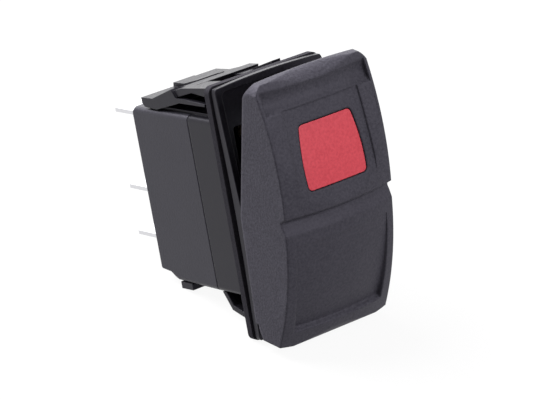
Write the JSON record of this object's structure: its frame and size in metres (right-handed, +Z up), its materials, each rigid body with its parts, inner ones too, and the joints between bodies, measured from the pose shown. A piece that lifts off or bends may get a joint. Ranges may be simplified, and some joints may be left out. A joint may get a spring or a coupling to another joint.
{
  "type": "panel rocker switch",
  "caption": "Black snap-in panel rocker switch with a sealed flange, red lamp lens in the upper half, snap wings and flat blade terminals, lower half pressed in.",
  "frame": {"origin": "centre of the panel seat plane, where the gasket meets the panel", "axes": "+X right seen from the front, +Y through the panel to the blades, +Z up along the switch; the rocker faces -Y"},
  "size_m": [0.0266, 0.0581, 0.0528],
  "materials": {
    "nylon_frame": "satin moulded",
    "nylon_base": "satin moulded",
    "nylon_cap": "fine moulded grain",
    "gasket": "matt",
    "red_lens": "frosted translucent",
    "clear": "clear",
    "carrier": "satin",
    "plunger": "satin",
    "spring": "bright",
    "copper": "bright",
    "silver": "satin",
    "tinned": "tin plated",
    "lamp_glass": "gloss"
  },
  "bodies": {
    "housing": {"bezel_frame": "nylon_frame", "panel_gasket": "gasket", "base_housing": "nylon_base", "centre_terminal_left": "tinned", "centre_terminal_right": "tinned", "load_terminal_left": "tinned", "load_terminal_right": "tinned", "fixed_contact_left": "silver", "fixed_contact_right": "silver", "lamp_terminal_left": "tinned", "lamp_terminal_right": "tinned", "lamp": "lamp_glass", "lamp_holder": "nylon_base", "lamp_lead_left": "tinned", "lamp_lead_right": "tinned"},
    "rocker": {"rocker_cap": "nylon_cap", "lens": "red_lens", "light_guide": "clear", "inner_rocker": "carrier", "plunger_spring_left": "spring", "plunger_spring_right": "spring"},
    "plunger_left": {"plunger_left": "plunger"},
    "plunger_right": {"plunger_right": "plunger"},
    "bar_left": {"contact_bar_left": "copper", "bar_contact_left": "silver"},
    "bar_right": {"contact_bar_right": "copper", "bar_contact_right": "silver"}
  },
  "joints": [
    {"name": "rocker_tilt", "type": "hinge", "parent": "housing", "child": "rocker", "pos_m": [0, -0.0075, 0], "axis": [1, 0, 0], "range_deg": [-21, 0]},
    {"name": "bar_left_rock", "type": "hinge", "parent": "housing", "child": "bar_left", "pos_m": [-0.00605, 0.0155, 0], "axis": [1, 0, 0], "range_deg": [0, 14.1]},
    {"name": "bar_right_rock", "type": "hinge", "parent": "housing", "child": "bar_right", "pos_m": [0.00605, 0.0155, 0], "axis": [1, 0, 0], "range_deg": [0, 14.1]},
    {"name": "plunger_left_slide", "type": "slide", "parent": "rocker", "child": "plunger_left", "axis": [0, 0.9833, 0.1822], "range_m": [-0.0008, 0], "stiffness_N_per_m": 600, "springref_m": 0.003, "deforming": ["plunger_spring_left"]},
    {"name": "plunger_right_slide", "type": "slide", "parent": "rocker", "child": "plunger_right", "axis": [0, 0.9833, 0.1822], "range_m": [-0.0008, 0], "stiffness_N_per_m": 600, "springref_m": 0.003, "deforming": ["plunger_spring_right"]}
  ],
  "couplings": [
    {"joint": "bar_left_rock", "follows": "rocker_tilt", "ratio": -0.66667},
    {"joint": "bar_right_rock", "follows": "rocker_tilt", "ratio": -0.66667}
  ]
}
